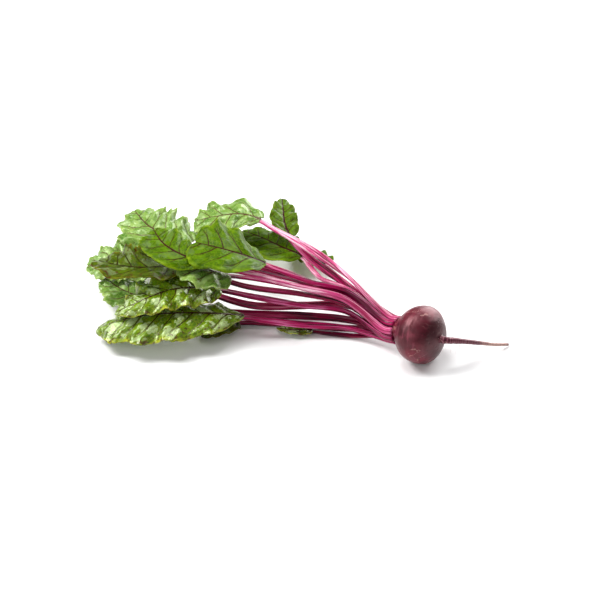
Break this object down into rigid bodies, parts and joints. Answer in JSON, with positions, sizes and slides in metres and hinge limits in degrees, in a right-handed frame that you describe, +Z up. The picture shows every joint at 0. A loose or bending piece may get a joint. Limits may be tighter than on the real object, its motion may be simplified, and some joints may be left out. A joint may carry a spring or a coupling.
{
  "type": "beetroot",
  "caption": "Fresh beetroot with its leaves on, lying on its side: a round red root with a long taproot, red stalks and waved green leaves.",
  "frame": {"origin": "on the surface it lies on, at the small flat spot under the swollen root", "axes": "+X along the length, from the leaves to the tip of the taproot; +Z up; +Y to the left when looking along +X"},
  "size_m": [0.4739, 0.3026, 0.1069],
  "materials": {
    "root_skin": "satin",
    "stalk_flesh": "satin",
    "leaf_green": "satin"
  },
  "bodies": {
    "root": {"root": "root_skin", "front_stalk": "stalk_flesh", "front_blade": "leaf_green", "lowest_stalk": "stalk_flesh", "lowest_blade": "leaf_green", "pale_stalk": "stalk_flesh", "pale_blade": "leaf_green", "crinkled_stalk": "stalk_flesh", "crinkled_blade": "leaf_green", "olive_stalk": "stalk_flesh", "olive_blade": "leaf_green", "middle_stalk": "stalk_flesh", "middle_blade": "leaf_green", "pointed_stalk": "stalk_flesh", "pointed_blade": "leaf_green", "bright_stalk": "stalk_flesh", "bright_blade": "leaf_green", "upper_stalk": "stalk_flesh", "upper_blade": "leaf_green", "small_stalk": "stalk_flesh", "small_blade": "leaf_green", "back_stalk": "stalk_flesh", "back_blade": "leaf_green", "tucked_stalk": "stalk_flesh", "tucked_blade": "leaf_green", "outer_stalk": "stalk_flesh", "outer_blade": "leaf_green", "inner_stalk": "stalk_flesh", "inner_blade": "leaf_green", "withered_stalk": "stalk_flesh", "withered_blade": "leaf_green"}
  },
  "joints": []
}
